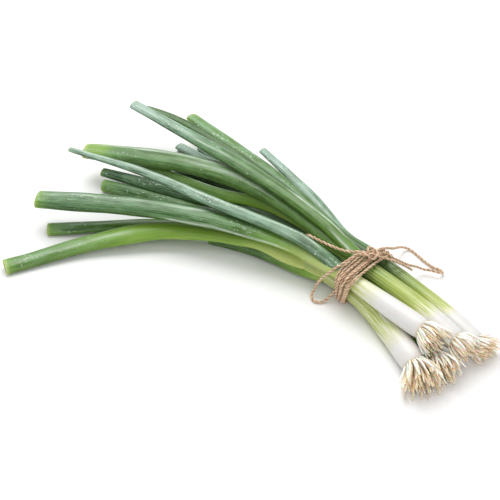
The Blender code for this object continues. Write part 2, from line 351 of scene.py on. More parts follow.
# %% Twine routes
TIE = np.array((67.9, 47.5, 0))  # where the tie stands, in the frame
TWINE = 2.2  # diameter
KNOT_CENTRE, KNOT_RADII = np.array((4.5, 2, 36)), np.array((6, 6.5, 3.6))
TWINE_RUNS = {
    "tail_left": [(-3, -0.5, 34.5), (-8, -4, 33.5), (-15, -6, 32.5), (-22, -7.8, 32.8), (-30, -10, 34),
                  (-39, -12, 35.2)],
    "tail_right": [(11.5, 4, 35.5), (14.5, 8.5, 32.5), (17.5, 13.5, 28.5), (20, 18.5, 24), (21.5, 23.5, 19),
                   (22, 28, 14)],
    "bow_loop_left": [(-1.5, -5.5, 36.5), (-3.5, -12.5, 34.5), (-7, -18, 30.5), (-11, -22.6, 25),
                      (-15, -24, 19), (-18.5, -25, 12), (-20.5, -26, 5), (-20.5, -28.5, 1.6),
                      (-17, -31.5, 1.3), (-13, -30.7, 1.3), (-10.5, -27.5, 1.4), (-9.3, -24, 3.2),
                      (-8, -21.6, 6.5), (-6.3, -20.5, 10)],
    "bow_loop_right": [(7.5, 8.7, 37.5), (7.5, 15, 34), (5.5, 23.5, 27), (2, 34, 18), (-1.5, 45, 9.5),
                       (-2.5, 53, 3.6), (1, 56.5, 1.4), (8, 55.5, 1.4), (16, 53.5, 1.4), (24, 52.5, 1.4),
                       (30.5, 53.5, 1.4), (33.5, 51, 2.6), (32, 47.5, 4.4), (27, 45.6, 4.6), (22.5, 43, 4.6),
                       (19.5, 38, 8.5), (18.5, 30.5, 14.5), (16.5, 21.5, 22.5), (13, 15.5, 28.5),
                       (9.5, 12.4, 32.6)],
}
print("twine runs:", {name: len(route) for name, route in TWINE_RUNS.items()}, "points")

# %% The twine's outline
YARNS, YARN_SIDES = 2, 7
WAIST, LOBES = 0.60, 0.42  # half the outline's width in the groove, and what the yarns add to that


def twine_outline():
    """The outline of two yarns side by side, about 1 mm in radius, as a hidden curve to sweep."""
    data = bpy.data.curves.new("twine_outline", "CURVE")
    data.dimensions = "2D"
    spline = data.splines.new("POLY")
    count = YARNS * YARN_SIDES
    spline.points.add(count - 1)
    spline.use_cyclic_u = True
    for k, point in enumerate(spline.points):
        turn = -2 * math.pi * k / count
        radius = (WAIST + LOBES * abs(math.cos(YARNS * turn / 2)) ** 1.3) * MM
        point.co = (radius * math.cos(turn), radius * math.sin(turn), 0, 1)
    outline = placed("twine_outline", data)
    outline.hide_render = True
    outline.hide_viewport = True
    return outline


outline = twine_outline()
print("points in the outline:", len(outline.data.splines[0].points))

# %% Laying twine
TWIST_EVERY = 7.0  # mm of twine for one full turn of its yarns
LOOSE_RADIUS = 0.98  # scale of the outline where nothing squeezes the twine
TWINE_STEP = 0.6  # between two rings


def lay_twine(name, lines, radius=LOOSE_RADIUS, phase=0.0):
    """A mesh of twine along each of these lines, which are in millimetres from the tie. The tilt is kept
    under a full turn, because a curve's tilt has a limit that a long line would pass."""
    data = bpy.data.curves.new(name, "CURVE")
    data.dimensions = "3D"
    data.bevel_mode = "OBJECT"
    data.bevel_object = outline
    data.use_fill_caps = True
    data.twist_mode = "MINIMUM"
    for line in lines:
        line = evenly(line, TWINE_STEP)
        spline = data.splines.new("POLY")
        spline.points.add(len(line) - 1)
        for k, (point, place) in enumerate(zip(spline.points, line)):
            point.co = (*((place + TIE) * MM), 1)
            wobble = 1 + 0.06 * math.sin(k * 0.9 + phase) + 0.05 * math.sin(k * 0.23 + 2 * phase)
            point.radius = radius * wobble
            point.tilt = (2 * math.pi * k * TWINE_STEP / TWIST_EVERY + phase) % (2 * math.pi)
    only(placed(name, data))
    bpy.ops.object.convert(target="MESH")
    piece = bpy.context.view_layer.objects.active
    paint_twine(piece, phase)
    edit_all()
    bpy.ops.mesh.remove_doubles(threshold=0.001 * MM)
    bpy.ops.object.mode_set(mode="OBJECT")
    piece.data.shade_smooth()
    return piece


def paint_twine(piece, phase):
    """Paints how deep in the groove each corner lies, and its place along and round the untwisted yarns."""
    sides = YARNS * YARN_SIDES
    rings = places_of(piece).reshape(-1, sides, 3)
    depth = np.linalg.norm(rings - rings.mean(axis=1, keepdims=True), axis=2)
    store(piece, "groove", 1 - (depth / depth.max(axis=1, keepdims=True)).ravel())
    turns = -2 * math.pi * np.arange(sides) / sides
    along = np.repeat(np.arange(len(rings)) * TWINE_STEP * MM + phase, sides)
    round_y, round_z = (np.tile(wave(turns) * TWINE / 2 * MM, len(rings)) for wave in (np.cos, np.sin))
    store_places(piece, np.column_stack([along, round_y, round_z]))


# %% The four free runs
PATH_STEP = 1.5  # between two points of the path laid along each cord
cords = {}
for number, (name, route) in enumerate(TWINE_RUNS.items()):
    line = smooth_line(route, TWINE_STEP)
    run = lay_twine(f"twine_{name}", [line], phase=number * 1.7)
    path = evenly(line, PATH_STEP)
    places = [tuple((point + TIE) * MM) for point in path]
    stands_for(run, "twine_jute", name)
    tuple(places[0])
    length_of(line) * MM
    cords[name] = (run, line)
    print(f"{name}: {length_of(line):.0f} mm of twine")

# %% [markdown]
# ## Measuring the frame
#
# A CAD leaf is a row of rings. Corners of one ring lie close together and rings lie far apart, so grouping
# the corners by distance finds the rings, and their centres are the leaf's middle line. A shank is nearly
# straight, so it is cut by planes across X instead, and each cut gives a centre and a radius.

# %% Rings of a leaf, cuts of a shank
RING_REACH = 9  # mm: corners nearer than this belong to one ring
CUT_STEP = 2.5
NECK_PASSED, PLATE_PASSED = 3, 6  # mm at a shank's two ends that are not cut


def corners_of(node):
    """Every triangle's corners of a CAD node, in millimetres from the tie."""
    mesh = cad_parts[node].data
    mesh.calc_loop_triangles()
    points = np.empty(len(mesh.vertices) * 3, np.float32)
    mesh.vertices.foreach_get("co", points)
    index = np.empty(len(mesh.loop_triangles) * 3, np.int32)
    mesh.loop_triangles.foreach_get("vertices", index)
    return points.reshape(-1, 3)[index].reshape(-1, 3, 3).astype(float) / MM - TIE


def rings_of(node):
    """The middle line of a CAD leaf from neck to tip, as rows of x, y, z and half width."""
    points = np.unique(np.round(corners_of(node).reshape(-1, 3), 3), axis=0)
    near = np.linalg.norm(points[:, None] - points[None], axis=2) < RING_REACH
    label = np.arange(len(points))
    for _ in range(len(points)):
        lowest = np.array([label[row].min() for row in near])
        if (lowest == label).all():
            break
        label = lowest
    rings = []
    for group in np.unique(label):
        members = points[label == group]
        centre = members.mean(axis=0)
        rings.append(np.array([*centre, np.linalg.norm(members - centre, axis=1).max()]))
    line = [rings.pop(int(np.argmax([ring[0] for ring in rings])))]
    while rings:
        gaps = [np.linalg.norm(ring[:3] - line[-1][:3]) for ring in rings]
        line.append(rings.pop(int(np.argmin(gaps))))
    return np.array(line)


def cut_at(triangles, x):
    """Centre and radius of the cut that the plane at x makes through a shank."""
    low, high = triangles[..., 0].min(axis=1), triangles[..., 0].max(axis=1)
    points = []
    for triangle in triangles[(low < x) & (high > x)]:
        for a, b in ((0, 1), (1, 2), (2, 0)):
            p, q = triangle[a], triangle[b]
            if (p[0] - x) * (q[0] - x) < 0:
                points.append(p + (q - p) * (x - p[0]) / (q[0] - p[0]))
    points = np.array(points)
    lowest, highest = points.min(axis=0), points.max(axis=0)
    return np.array([x, *((lowest + highest) / 2)[1:], (highest - lowest)[2] / 2])


def cuts_of(node):
    """The middle line of a CAD shank from neck to root plate, as rows of x, y, z and radius."""
    triangles = corners_of(node)
    first, last = triangles[..., 0].min(), triangles[..., 0].max()
    places = np.arange(first + NECK_PASSED, last - PLATE_PASSED, CUT_STEP)
    return np.array([cut_at(triangles, x) for x in places])


ONIONS = ("near", "top", "middle", "far", "low")
shank_lines = {onion: cuts_of(f"{onion}_shank") for onion in ONIONS}
leaf_lines = {node: rings_of(node) for node in sorted(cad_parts) if "_leaf_" in node}
print("shanks:", {onion: len(line) for onion, line in shank_lines.items()})
print("leaves:", {node: round(length_of(line)) for node, line in leaf_lines.items()}, "mm")

# %% [markdown]
# ## The windings and the knot
#
# The twine goes round the five shanks eight and a half times, in two rough layers that pull together at the
# foot and spread out at the top. Each turn touches the outermost shank on its way round, so its place is
# worked out from the shanks themselves, and the last turns cross the first ones aslant.

# %% Windings
TURNS, BASE_TURNS = 8.6, 5.6
BAND_FOOT, BAND_LEAN, BAND_TOP = -3.5, 7.0, 32.0
FOOT_WIDTH, TOP_WIDTH = 9.0, 17.0
BAND_SLACK = 0.7  # between the shanks and the first layer
WOUND_RADIUS = 0.88  # twine pulled tight is thinner
STEPS_A_TURN = 96
SECOND_LAYER_BACK = 0.85  # how much of the band's width the second layer crosses
RIDES = (0, 1.2, 0.3, 0.9, 0.1, 1.3, 1.9, 2.2, 1.7, 2.4)  # how far each turn rides out on the ones below it
DRIFT = 0.7  # how far a turn wanders along the bunch
WOUND_EASED, SHANK_EASED = 3, 2  # times that ease is run


def wound_point(turn, x_foot, clear):
    """Where a string pulled round the shanks lies at this angle, `clear` of them."""
    facing = np.array((math.cos(turn), math.sin(turn)))
    best = None
    for line in shank_lines.values():
        row = line[np.argmin(abs(line[:, 0] - x_foot - BAND_LEAN * line[:, 2] / BAND_TOP))]
        reach = facing @ row[1:3] + row[3]
        if best is None or reach > best[0]:
            best = (reach, row)
    y, z = best[1][1:3] + (best[1][3] + clear) * facing
    return np.array((x_foot + BAND_LEAN * z / BAND_TOP, y, z))


def layer_clear(done):
    """How far out the twine lies after this many turns: pulled tight, but riding up here and there."""
    return float(np.interp(done, np.arange(len(RIDES)) + 0.5, RIDES))


def winding_line():
    """The twine's way round the bunch: to the roots in the first layer, and aslant back in the second."""
    dice = random.Random(4)
    drift = [dice.uniform(-DRIFT, DRIFT) for _ in range(12)]
    line = []
    for k in range(int(TURNS * STEPS_A_TURN)):
        done = k / STEPS_A_TURN
        turn = math.pi / 2 + 2 * math.pi * done
        if done < BASE_TURNS:
            across = -0.5 + done / BASE_TURNS
        else:
            across = 0.5 - SECOND_LAYER_BACK * (done - BASE_TURNS) / (TURNS - BASE_TURNS)
        height = np.clip(wound_point(turn, BAND_FOOT, 0)[2] / BAND_TOP, 0, 1)
        width = FOOT_WIDTH + (TOP_WIDTH - FOOT_WIDTH) * height**2
        clear = BAND_SLACK + WOUND_RADIUS + layer_clear(done)
        sway = np.interp(done, range(len(drift)), drift)
        line.append(wound_point(turn, BAND_FOOT + across * width + sway * height, clear))
    line = np.array(line)
    line[:, 2] = np.maximum(line[:, 2], TWINE / 2)
    ease(line, WOUND_EASED)
    return line


wound = winding_line()
windings = lay_twine("twine_windings_wound", [wound], radius=WOUND_RADIUS, phase=0.4)
stands_for(windings, "twine_jute", "twine_windings")
print(f"windings: {length_of(wound):.0f} mm of twine")

# %% Knot
KNOT_STEPS = 150
KNOT_OUT, KNOT_SWING = 0.62, 0.34  # how far the knot's loops lie from its middle, and how far that varies


def knot_line():
    """A pulled-tight overhand knot, flattened to the CAD knot's size."""
    line = []
    for turn in np.linspace(0, 2 * math.pi, KNOT_STEPS):
        out = KNOT_OUT + KNOT_SWING * math.cos(3 * turn)
        line.append((out * math.cos(2 * turn), out * math.sin(2 * turn), KNOT_OUT * math.sin(3 * turn)))
    return KNOT_CENTRE + np.array(line) * (KNOT_RADII - TWINE / 2) * (1, 1, 1.25)


def lead_in(route):
    """The short stretch of twine inside the knot that a free run comes out of."""
    first = np.array(route[0], float)
    shares = (0.15, 0.6, 1.0)
    return smooth_line([KNOT_CENTRE + (first - KNOT_CENTRE) * share for share in shares], TWINE_STEP)


ends_at_knot = [lead_in(route) for route in TWINE_RUNS.values()]
ends_at_knot.append(lead_in(TWINE_RUNS["bow_loop_right"][::-1]))
knot = lay_twine("twine_knot_tied", [knot_line(), *ends_at_knot], phase=1.1)
stands_for(knot, "twine_jute", "twine_knot")
print("knot made with", len(ends_at_knot), "ends")

# %% [markdown]
# ## Loose fibres
#
# Jute is never clean: short fibres stand off the yarns all along, and the cut ends fray into a small brush.
# One fibre is modelled as a thin cone with a bend in it. Its copies are turned and set at random places on
# the twine.

# %% Fuzz
FUZZ_EVERY = 2.6  # mm of twine for one fibre
FRAYED_FIBRES = 22  # at each cut end
FIBRE_RADIUS = 0.07
OFF_TABLE = 0.3  # how near the table a fibre's end may come
fuzz_dice = random.Random(8)


def one_fibre():
    """A bent fibre, 1 mm long, along +Z."""
    bpy.ops.object.select_all(action="DESELECT")
    bpy.ops.mesh.primitive_cone_add(vertices=3, radius1=FIBRE_RADIUS * MM, radius2=0.02 * MM, depth=1 * MM,
                                    end_fill_type="NGON", location=(0, 0, 0.5 * MM))
    fibre = bpy.context.view_layer.objects.active
    bpy.ops.object.transform_apply(location=True, rotation=True, scale=True)
    bpy.ops.object.mode_set(mode="EDIT")
    for share in (0.35, 0.7):
        bpy.ops.mesh.select_all(action="SELECT")
        bpy.ops.mesh.bisect(plane_co=(0, 0, share * MM), plane_no=(0, 0, 1))
    bpy.ops.object.mode_set(mode="OBJECT")
    for vertex in fibre.data.vertices:
        vertex.co.x += 0.35 * MM * (vertex.co.z / MM) ** 2
    return fibre


def set_fibre(fibre, place, heading, length):
    """A copy of the fibre that leaves `place` in this direction, but stays off the table."""
    heading = Vector(heading).normalized()
    place = Vector(place) + Vector(TIE)
    if place.z + min(heading.z, 0) * length < OFF_TABLE:
        heading.z = abs(heading.z) * 0.3
    turn = Matrix.Rotation(fuzz_dice.uniform(0, 6.28), 4, "Z")
    facing = heading.to_track_quat("Z", "Y").to_matrix().to_4x4()
    copy = placed("fibre", fibre.data.copy())
    stretch = Matrix.Diagonal((1, 1, length, 1))
    copy.data.transform(Matrix.Translation(place * MM) @ facing @ turn @ stretch)
    return copy


def random_heading(forward, sideways):
    """A direction near `forward`, `sideways` being how far it strays."""
    stray = np.array([fuzz_dice.gauss(0, 1) for _ in range(3)])
    return np.array(forward) + unit(stray) * sideways


def make_fuzz(lines, frayed):
    """Fibres along each of these lines, given with their twine's radius, and a brush at each frayed end."""
    fibre = one_fibre()
    copies = []
    for line, radius in lines:
        for k in range(2, len(line) - 2, max(1, round(FUZZ_EVERY / TWINE_STEP))):
            along = line[k + 1] - line[k - 1]
            heading = random_heading(unit(along), 1.1)
            out = heading - along * (heading @ along) / (along @ along)
            start = line[k] + unit(out) * radius * 0.7
            copies.append(set_fibre(fibre, start, heading, fuzz_dice.uniform(0.9, 2.6)))
    for line in frayed:
        forward = unit(line[-1] - line[-4])
        for _ in range(FRAYED_FIBRES):
            start = line[-1] - forward * 0.6 + random_heading((0, 0, 0), 0.5)
            copies.append(set_fibre(fibre, start, random_heading(forward, 0.45), fuzz_dice.uniform(1.6, 3.4)))
    bpy.data.objects.remove(fibre)
    piece = joined(copies, "twine_fuzz")
    store(piece, "groove", np.zeros(len(piece.data.vertices)))
    store_places(piece, places_of(piece))
    print("loose fibres:", len(copies))
    return stands_for(piece, "twine_jute")


free_lines = {name: evenly(line, TWINE_STEP) for name, (_, line) in cords.items()}
fuzz = make_fuzz([(evenly(wound, TWINE_STEP), WOUND_RADIUS), (evenly(knot_line(), TWINE_STEP), LOOSE_RADIUS),
                  *((line, LOOSE_RADIUS) for line in free_lines.values())],
                 [free_lines["tail_left"], free_lines["tail_right"]])

# %% [markdown]
# ## Lofted tubes
#
# A leaf, a sheath and a root are all tubes whose section changes on the way. Each is modelled straight,
# along +X: a circle is extruded station by station and resized to the next section. Only then is it bent,
# with a Curve modifier, along its measured line. Before the bend, the straight place of each corner of a
# leaf or sheath is stored on the mesh, so that a finish can run its streaks along the piece.

# %% Loft and bend
def loft(name, sections, sides):
    """A straight open tube along +X. `sections` are rows of x, half width and half thickness, in mm."""
    sections = np.asarray(sections, float) * MM
    x, wide, thick = sections[0]
    bpy.ops.object.select_all(action="DESELECT")
    bpy.ops.mesh.primitive_circle_add(vertices=sides, radius=1 * MM, fill_type="NOTHING",
                                      location=(x, 0, 0), rotation=(0, math.pi / 2, 0))
    piece = bpy.context.view_layer.objects.active
    piece.name = piece.data.name = name
    bpy.ops.object.transform_apply(location=True, rotation=True, scale=True)
    edit_all()
    bpy.ops.transform.resize(value=(1, wide / MM, thick / MM), center_override=(x, 0, 0))
    for next_x, next_wide, next_thick in sections[1:]:
        bpy.ops.mesh.extrude_region_move(TRANSFORM_OT_translate={"value": (next_x - x, 0, 0)})
        growth = (1, next_wide / wide, next_thick / thick)
        bpy.ops.transform.resize(value=growth, center_override=(next_x, 0, 0))
        x, wide, thick = next_x, next_wide, next_thick
    finish_edit()
    return piece


def store_straight(piece, shift):
    """Keeps each corner's straight place, moved along by `shift` so that no two pieces look alike."""
    places = places_of(piece)
    store_places(piece, places + (shift, 0, 0))
    return places


def store_up(piece):
    """Paints how far each corner of a bent piece faces up, from -1 to 1."""
    normals = np.empty(len(piece.data.vertices) * 3, np.float32)
    piece.data.vertex_normals.foreach_get("vector", normals)
    store(piece, "up", normals.reshape(-1, 3)[:, 2])


def bend(piece, line, turns=((0, 0), (1, 0))):
    """Bends a straight piece along `line`, turned about it by `turns`, rows of share and degrees."""
    data = bpy.data.curves.new("bend", "CURVE")
    data.dimensions = "3D"
    data.twist_mode = "Z_UP"
    data.use_radius = False
    spline = data.splines.new("POLY")
    spline.points.add(len(line) - 1)
    for k, (point, place) in enumerate(zip(spline.points, line)):
        point.co = (*((place[:3] + TIE) * MM), 1)
        point.tilt = math.radians(read_off(turns, k / (len(line) - 1)))
    guide = placed("bend", data)
    modifier = piece.modifiers.new("Bend", "CURVE")
    modifier.object = guide
    modifier.deform_axis = "POS_X"
    apply_all(piece)
    bpy.data.objects.remove(guide)


# %% [markdown]
# ## The leaves
#
# A spring onion's leaf is a hollow tube that flattens as it leaves the sheath. Each starts inside its own
# shank, round and snug under the twine, and opens to its full width further along. The wall gets a real
# thickness, so the cut tip shows a rim. Widths swell and pinch a little, because no leaf is ruled.

# %% Leaf shapes
LEAF_STEP = 4.0
LEAF_SIDES = 20
LEAF_WALL = 0.5
LEAF_OFF_TABLE = 0.15
PLAIN_NECK = 0.12  # the share of a leaf that doesn't swell and pinch
BEND_STEP = 2.0
TIP_FADE = ((0.5 * MM, 1), (4 * MM, 0))  # distance from the cut tip, and how dry the leaf is there
HIGHLIGHT_HALF, HIGHLIGHT_END, HIGHLIGHT_WAVER = 10, 0.05, 4  # half width in degrees, share to fade in, degrees to waver
# Two places where a leaf's line starts inside its shank, and its half width there over the shank's radius.
# The near shank ends in plain sight of the tie, so there they are measured from that end.
ROOTED_AT = ((5.0, 0.72), (-4.0, 0.8))
WRAPPED_AT = ((28.0, 0.5), (11.0, 0.85))
ROOTED_ASIDE = 0.5  # how far off the shank's middle it starts, over the shank's radius
NECK_RUN = 9.0  # the CAD leaf's first stretch, passed by so that the leaf leaves its shank without a kink

# Each leaf's own look, mostly as rows of share, from 0 at the neck to 1 at the tip, and value. "flat":
# thickness over width at the neck, half way and at the tip. "turn": how the leaf twists, in degrees.
# "wide": its width over the CAD leaf's. "lime": how yellow-green it is, where 2 is as pale as the sheath.
# "bloom": how much pale wax it carries, which frosts the leaf from 0.6 up. "dark": how far
# painted shade darkens its green where it lies in shadow in the bunch. "highlight_lines": pale lines of
# painted highlight, each an angle round the leaf from the near edge over the top, the shares where it
# starts and ends, and its strength.
LEAF_LOOKS = {
    "near_leaf_under": {
        "lime": ((0, 1.3), (0.25, 0.7), (0.5, 0.25), (1, 0.1)), "bloom": ((0, 0.25), (1, 0.25)), "dark": 0.2,
        "flat": (1.0, 0.95, 0.5), "turn": ((0, -35), (1, -35)), "wide": ((0, 1.25), (0.6, 1.15), (1, 1)),
    },
    "near_leaf_inner": {
        "lime": ((0, 1.9), (0.16, 1.5), (0.34, 0.6), (0.94, 0.2), (1, 0.9)),
        "bloom": ((0, 0.3), (0.5, 0.2), (1, 0.35)), "wide": ((0, 0.95), (0.1, 0.95), (0.16, 1.25), (0.3, 1)),
        "highlight_lines": ((95, 0.55, 0.98, 0.6),),
    },
    "near_leaf_curved": {
        "lime": ((0, 2.0), (0.14, 1.75), (0.28, 1.1), (0.62, 1.0), (0.85, 0.4), (0.97, 0.45), (1, 1.2)),
        "bloom": ((0, 0.15), (0.55, 0.05), (0.75, 0.25), (1, 0.4)), "flat": (0.85, 0.6, 0.6),
        "wide": ((0, 1), (0.08, 1), (0.14, 1.35), (0.24, 1.15), (0.34, 1)),
        "highlight_lines": ((80, 0.6, 0.99, 0.5), (120, 0.02, 0.3, 0.5)),
    },
    "top_leaf_broad": {
        "lime": ((0, 1.8), (0.16, 1.6), (0.25, 1.0), (0.34, 0.35), (0.5, 0.05), (0.95, 0), (1, 0.9)),
        "bloom": ((0, 0.25), (0.4, 0.38), (1, 0.42)), "highlight_lines": ((5, 0.2, 0.62, 0.9), (100, 0.45, 1.0, 0.6)),
    },
    "top_leaf_narrow": {
        "lime": ((0, 0), (0.97, 0), (1, 0.3)), "bloom": ((0, 0.45), (0.3, 0.8), (1, 1)), "dark": 0.3,
        "highlight_lines": ((105, 0.1, 1.0, 0.7), (40, 0.0, 0.3, 0.4)),
    },
    "middle_leaf_folded": {
        "lime": ((0, 1.5), (0.1, 1.2), (0.36, 1.15), (0.5, 0.9), (0.62, 0.35), (0.8, 0.5), (1, 0.2)),
        "bloom": ((0, 0.05), (0.5, 0.05), (0.7, 0.2), (1, 0.3)), "flat": (0.6, 0.2, 0.3),
        "turn": ((0, -20), (0.25, -40), (0.5, -50), (0.62, -40), (0.85, -50), (1, -45)),
        "wide": ((0, 0.8), (0.12, 0.45), (0.3, 0.5), (0.45, 0.6), (0.65, 0.8), (1, 0.95)),
        "shift": (0, -1.0, 0.6), "highlight_lines": ((165, 0.3, 0.95, 0.6),),
    },
    "middle_leaf_high": {
        "lime": ((0, 0.45), (0.3, 0.2), (1, 0)),
        "bloom": ((0, 0.05), (0.3, 0.15), (0.5, 0.3), (0.75, 0.8), (1, 1.4)),
        "highlight_lines": ((55, 0.03, 0.17, 1.0), (118, 0.1, 0.36, 1.0), (70, 0.55, 1.0, 0.4)),
    },
    "far_leaf_behind": {"lime": ((0, 0.1), (1, 0.1)), "bloom": ((0, 0.1), (1, 0.15)), "dark": 0.6},
    "middle_leaf_wide": {
        "lime": ((0, 0.5), (0.25, 0.3), (0.85, 0.2), (0.9, 0.35), (0.94, 1.1), (1, 1.2)),
        "bloom": ((0, 0.15), (0.5, 0.25), (1, 0.35)), "dark": 0.15,
        "highlight_lines": ((112, 0.45, 0.97, 0.8), (75, 0.35, 0.7, 0.35)),
    },
    "far_leaf_pale": {
        "lime": ((0, 0.25), (0.6, 0.3), (0.95, 0.6), (1, 1.0)), "bloom": ((0, 0.45), (1, 0.65)),
    },
    "far_leaf_short": {
        "lime": ((0, 0.2), (1, 0)), "bloom": ((0, 0.6), (0.5, 1), (1, 1.4)),
        "wide": ((0, 1), (0.4, 0.85), (1, 0.74)), "highlight_lines": ((70, 0.3, 0.9, 0.4),),
    },
    "far_leaf_stub": {"lime": ((0, 0.3), (1, 0.1)), "bloom": ((0, 0.8), (0.7, 1), (1, 1.3))},
    "low_leaf_dark": {
        "lime": ((0, 0.1), (1, 0)), "bloom": ((0, 0.25), (0.5, 0.3), (1, 0.5)), "dark": 0.8,
        "turn": ((0, -15), (0.4, -35), (0.8, -35), (1, -20)),
        "wide": ((0, 1), (0.3, 1.1), (0.5, 1.35), (0.7, 1.3), (0.85, 1.05), (1, 1)),
        "highlight_lines": ((110, 0.1, 0.5, 0.35),),
    },
    "low_leaf_under": {
        "lime": ((0, 0.3), (0.9, 0.1), (1, 0.6)), "bloom": ((0, 0.3), (0.7, 0.35), (1, 0.55)), "dark": 0.2,
        "flat": (0.9, 0.8, 0.85), "turn": ((0, -10), (0.5, -40), (1, -45)),
        "wide": ((0, 1), (0.5, 1.25), (1, 1.1)),
    },
    "low_leaf_back": {
        "lime": ((0, 0.1), (0.6, 0), (1, 0)), "bloom": ((0, 0.3), (0.6, 0.7), (1, 1.3)), "dark": 0.3,
    },
}
# One more leaf lies in the shade under the wide one, seen only through a gap, so the CAD model leaves it out.
# It is darkened nearly to black with painted shade, to fill that gap with shade.
SHADED_LEAF = {
    "lime": ((0, 0), (1, 0)), "bloom": ((0, 0.1), (1, 0.15)), "dark": 0.9, "turn": ((0, -30), (1, -30)),
}
SHADED_LINE = [(-52, 16, 12, 4), (-88, 20, 12, 4.6), (-118, 15, 12, 5), (-146, 6.5, 12, 5),
               (-170, 2, 11.5, 4.2), (-186, -0.5, 11, 3.4)]
print("leaves to grow:", len(LEAF_LOOKS) + 1)


# %% One leaf
def leaf_line(node):
    """The leaf's whole line: out of its shank, then along the CAD leaf."""
    rings = leaf_lines[node]
    rings = rings[rings[:, 0] < rings[0, 0] - NECK_RUN]
    onion = node.split("_")[0]
    shank = shank_lines[onion]
    first, rooted_at = (shank[0, 0], WRAPPED_AT) if onion == "near" else (0, ROOTED_AT)
    rooted = []
    for x, share in rooted_at:
        row = shank[np.argmin(abs(shank[:, 0] - first - x))]
        aside = rings[0, 1:3] - row[1:3]
        aside *= min(1, ROOTED_ASIDE * row[3] / np.linalg.norm(aside))
        rooted.append((row[0], *(row[1:3] + aside), row[3] * share))
    return smooth_line(np.vstack([rooted, rings]), LEAF_STEP)


def make_leaf(name, line, look, number):
    """Lofts the leaf at its widths, paints it, bends it along its line and keeps it off the table."""
    line = line.copy()
    dice = random.Random(number)
    first, second = dice.uniform(0, 6), dice.uniform(0, 6)
    share = np.linspace(0, 1, len(line))
    x = np.linspace(0, length_of(line), len(line))
    swell = 1 + 0.03 * np.sin(x / 17 + first) + 0.02 * np.sin(x / 7.3 + second)
    line[:, :3] += np.array(look.get("shift", (0, 0, 0))) * np.sin(share * math.pi)[:, None]
    wide = read_off(look.get("wide", ((0, 1), (1, 1))), share)
    half = line[:, 3] * np.where(share < PLAIN_NECK, 1, swell) * wide
    neck, middle, tip = look.get("flat", (0.9, 0.62, 0.55))
    flat = read_off(((0, neck), (0.08, (neck + middle) / 2), (0.45, middle), (1, tip)), share)
    turns = look.get("turn", ((0, 0), (0.5, dice.uniform(-12, 12)), (1, dice.uniform(-15, 15))))
    tilt = np.radians(read_off(turns, share))
    deep = half * np.hypot(np.sin(tilt), flat * np.cos(tilt))
    line[:, 2] = np.maximum(line[:, 2], deep + LEAF_OFF_TABLE)
    leaf = loft(name, np.column_stack([x, half, half * flat]), LEAF_SIDES)
    places = store_straight(leaf, number * 0.4)
    along = places[:, 0] / places[:, 0].max()
    for paint in ("lime", "bloom"):
        store(leaf, paint, read_off(look[paint], along))
    store(leaf, "dark", np.full(len(places), look.get("dark", 0.0)))
    store(leaf, "tip", read_off(TIP_FADE, places[:, 0].max() - places[:, 0]))
    wall = leaf.modifiers.new("Wall", "SOLIDIFY")
    wall.thickness = LEAF_WALL * MM
    wall.offset = -1
    make_finer(leaf)
    apply_all(leaf)
    paint_highlight_lines(leaf, look.get("highlight_lines", ()), number)
    bend(leaf, evenly(line, BEND_STEP), turns)
    leaf.data.shade_smooth()
    store_up(leaf)
    return leaf


def paint_highlight_lines(leaf, highlight_lines, number):
    """Paints pale lines of painted highlight along the leaf: glints and bright edges."""
    places = places_of(leaf)
    along = places[:, 0] / places[:, 0].max()
    stations = np.round(places[:, 0] / MM).astype(int)
    width = np.ones(stations.max() + 1)
    thick = np.ones(stations.max() + 1)
    np.maximum.at(width, stations, abs(places[:, 1]) / MM)
    np.maximum.at(thick, stations, abs(places[:, 2]) / MM)
    angle = np.degrees(np.arctan2(places[:, 2] / thick[stations], places[:, 1] / width[stations]))
    painted = np.zeros(len(places))
    for centre, start, end, strength in highlight_lines:
        waver = HIGHLIGHT_WAVER * np.sin(along * 31 + number)
        off = abs((angle - centre + waver + 180) % 360 - 180)
        ends = np.clip(np.minimum(along - start, end - along) / HIGHLIGHT_END, 0, 1)
        painted = np.maximum(painted, strength * np.exp(-((off / HIGHLIGHT_HALF) ** 2)) * ends)
    store(leaf, "ridge", painted)


# %% Grow the leaves
leaves = {}
for number, (node, look) in enumerate(LEAF_LOOKS.items()):
    leaves[node] = make_leaf(f"{node}_grown", leaf_line(node), look, number)
    stands_for(leaves[node], "leaf_green", node)
shaded_line = smooth_line(SHADED_LINE, LEAF_STEP)
leaves["shaded"] = stands_for(make_leaf("shaded_leaf_grown", shaded_line, SHADED_LEAF, 15), "leaf_green")
print("leaves made:", len(leaves))

# %% [markdown]
# ## The shanks
#
# The shank is the leaves' wrapped bases: a stack of sheaths that swells to a small bulb and ends in a hard
# root plate. Most of its look is colour, so the mesh carries a painted number, `green`, from 0 at the white
# bulb to 1 where the sheath is leaf green, and another, `plate`, that is 1 on the root plate.

# %% Shank shapes
SHANK_SIDES = 28
SHANK_STEP = 2.5
# Share of the way from the last cut to the root plate, and the radius there over the bulb's.
BULB_END = ((0.4, 1.02), (0.7, 1.02), (0.9, 0.97), (1.0, 0.86))
# The last rings of a closed end: each one's size over the one before, and its step out.
DOME = ((0.7, 0.6), (0.5, 0.35), (0.3, 0.1))
# x from the tie, and the radius over the CAD shank's: each shank goes in where its leaves hide it, and the
# near one, whose end shows, goes in further out and has a fuller bulb.
NECKS = ((-12, 0.45), (0, 0.92), (5, 1))
NEAR_NECK = ((-50, 0.45), (-42, 0.8), (-34, 0.95), (-20, 1), (15, 1), (40, 1.1))

# x from the tie, and how green the sheath is there.
GREENS = {
    "near": ((-50, 0.4), (-38, 0.3), (-15, 0.28), (5, 0.32), (25, 0.28), (42, 0.2), (54, 0.08), (62, 0)),
    "top": ((-10, 0.3), (3, 0.2), (14, 0.15), (26, 0.06), (33, 0)),
    "middle": ((-10, 1.05), (6, 0.95), (16, 0.72), (30, 0.52), (46, 0.46), (54, 0.3), (61, 0.1), (66, 0)),
    "far": ((-10, 1.05), (15, 0.9), (32, 0.66), (46, 0.45), (57, 0.3), (64, 0.1), (69, 0)),
    "low": ((-10, 0.9), (25, 0.85), (50, 0.78), (66, 0.66), (73, 0.4), (80, 0.08)),
}


